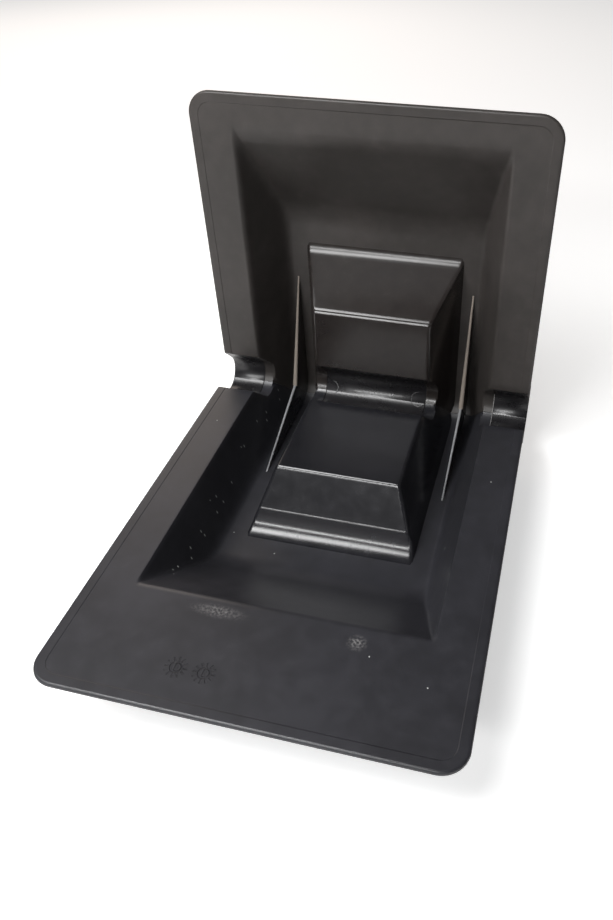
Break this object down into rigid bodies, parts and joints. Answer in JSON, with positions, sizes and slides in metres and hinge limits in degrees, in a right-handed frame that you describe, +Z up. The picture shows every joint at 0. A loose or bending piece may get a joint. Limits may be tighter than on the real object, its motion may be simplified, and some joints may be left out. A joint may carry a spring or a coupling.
{
  "type": "folding sluice box",
  "caption": "Folding sluice box: black moulded base tray and header panel, each with a recess, a riffle block and ribs, hinged at a round channel.",
  "frame": {"origin": "bottom centre of the open box's bounding box, on the ground under the recess floor", "axes": "+X to the right seen from the front lip, +Y from the front lip towards the header, +Z up along the open header"},
  "size_m": [0.25, 0.352, 0.2755],
  "materials": {
    "tray_plastic": "satin black polypropylene, fine moulded grain, light scuffs",
    "block_plastic": "satin black polypropylene with polished edges",
    "rib_plastic": "satin black polypropylene, bright worn edge",
    "hinge_plastic": "smoother black polypropylene on the rolled corner"
  },
  "bodies": {
    "base": {"base_tray": "tray_plastic", "base_riffle_block": "block_plastic", "base_rib_left": "rib_plastic", "base_rib_right": "rib_plastic", "hinge_trough_left": "hinge_plastic", "hinge_trough_centre": "hinge_plastic", "hinge_trough_right": "hinge_plastic"},
    "header": {"header_panel": "tray_plastic", "header_riffle_block": "block_plastic", "header_rib_left": "rib_plastic", "header_rib_right": "rib_plastic", "hinge_curl_left": "hinge_plastic", "hinge_curl_centre": "hinge_plastic", "hinge_curl_right": "hinge_plastic"}
  },
  "joints": [
    {"name": "header_fold", "type": "hinge", "parent": "base", "child": "header", "pos_m": [0, 0.128, 0.048], "axis": [1, 0, 0], "range_deg": [0, 88.5]}
  ]
}
